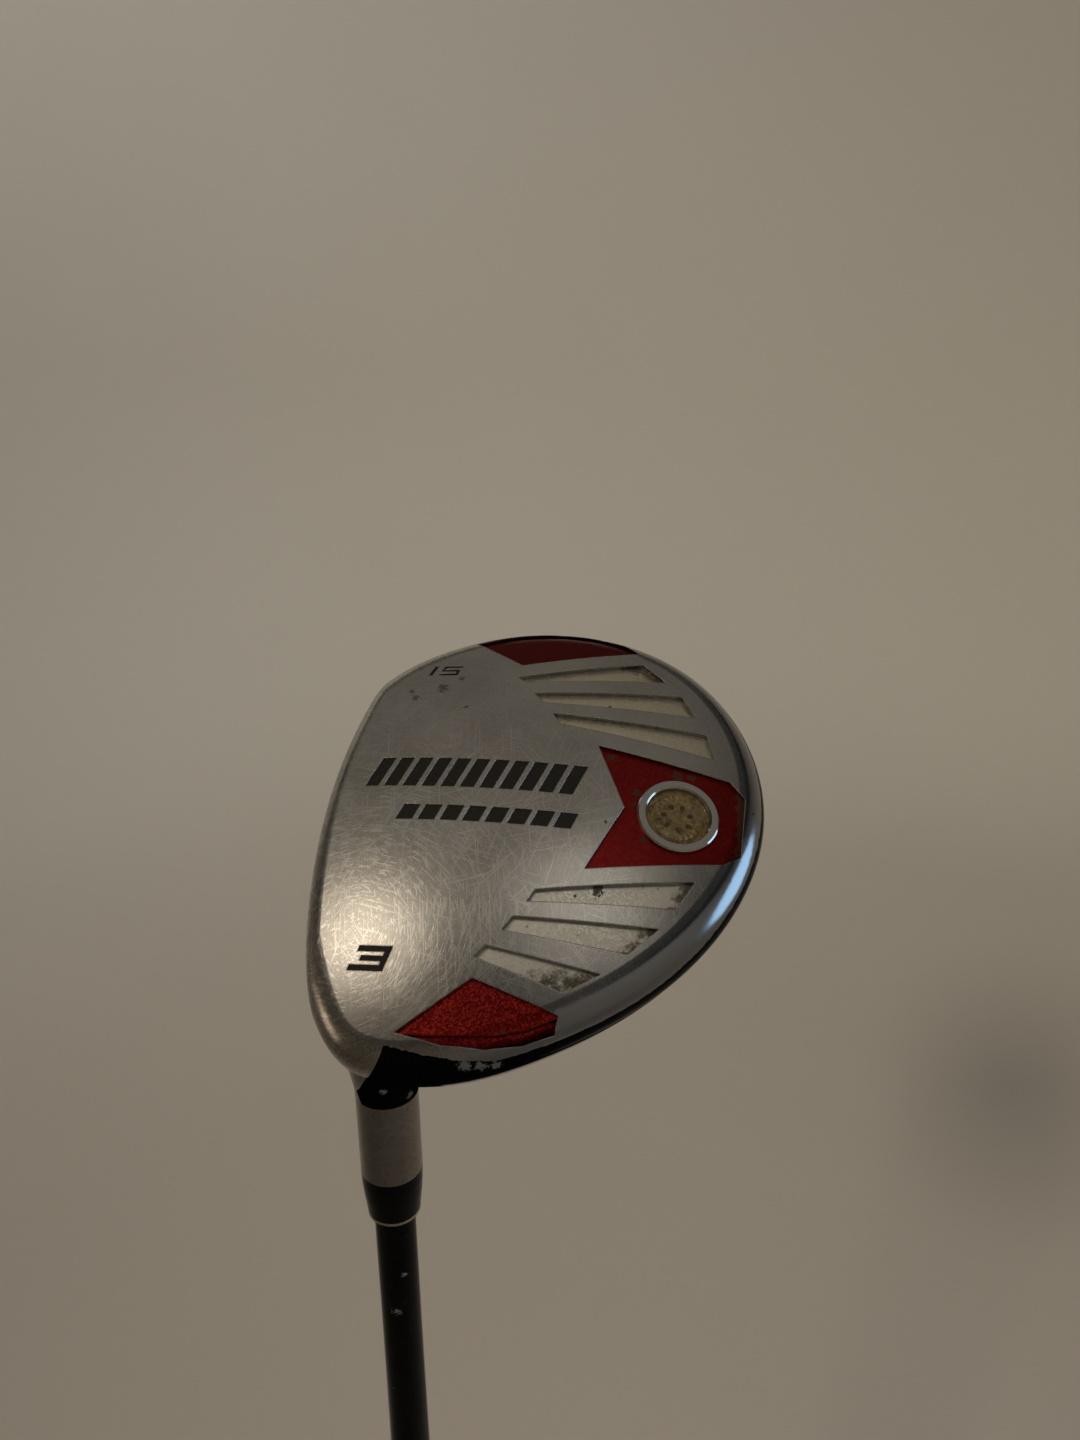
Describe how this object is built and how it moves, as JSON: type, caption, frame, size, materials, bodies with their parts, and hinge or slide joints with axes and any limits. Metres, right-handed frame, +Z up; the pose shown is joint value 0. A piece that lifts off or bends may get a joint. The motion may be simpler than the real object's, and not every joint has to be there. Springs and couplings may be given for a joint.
{
  "type": "fairway wood golf club",
  "caption": "Left-handed fairway wood: hollow steel head with painted crown, coloured sole recesses and rear port ring, bonded hosel, ferrule, tapered black shaft and rubber grip.",
  "frame": {"origin": "centre of the vent hole in the grip cap's outer face, on the shaft axis", "axes": "+Z up the shaft axis from the butt to the head; the face looks toward -X, the back of the head is +X; the toe is on the +Y side and the sole faces up and toward -Y, so the club stands head up"},
  "size_m": [0.0931, 0.102, 1.1332],
  "materials": {
    "cast_steel": "satin stainless steel, fine scratches",
    "crown_paint": "gloss black paint, worn at the skirt",
    "face_steel": "blasted steel with score lines",
    "mark_paint": "dark worn paint fill",
    "silver_enamel": "metallic silver enamel, yellowed",
    "red_enamel": "metallic red enamel",
    "hot_melt": "translucent hot melt",
    "polished_steel": "polished",
    "weight_steel": "as turned",
    "badge_metal": "dull, dirty",
    "clear_resin": "yellowed clear resin",
    "stopper": "plain",
    "brass": "as turned",
    "epoxy": "cured adhesive",
    "shaft_paint": "gloss black over carbon composite",
    "ferrule_black": "gloss black",
    "trim_metal": "thin pale ring",
    "tape": "double-sided tape",
    "grip_rubber": "moulded rubber, soft texture",
    "grip_cap_rubber": "moulded rubber"
  },
  "bodies": {
    "root": {"cast_body": "cast_steel", "crown_shell": "crown_paint", "face_insert": "face_steel", "mark_paint": "mark_paint", "toe_ray_enamel": "silver_enamel", "heel_ray_enamel": "silver_enamel", "rear_enamel": "red_enamel", "toe_enamel": "red_enamel", "heel_enamel": "red_enamel", "rattle_glue": "hot_melt", "port_ring": "polished_steel", "port_weight": "weight_steel", "port_badge": "badge_metal", "port_resin": "clear_resin", "bore_stopper": "stopper", "tip_weight": "brass", "hosel_epoxy": "epoxy", "shaft": "shaft_paint", "ferrule": "ferrule_black", "trim_ring": "trim_metal", "grip_tape": "tape", "grip_sleeve": "grip_rubber", "grip_cap": "grip_cap_rubber"}
  },
  "joints": []
}
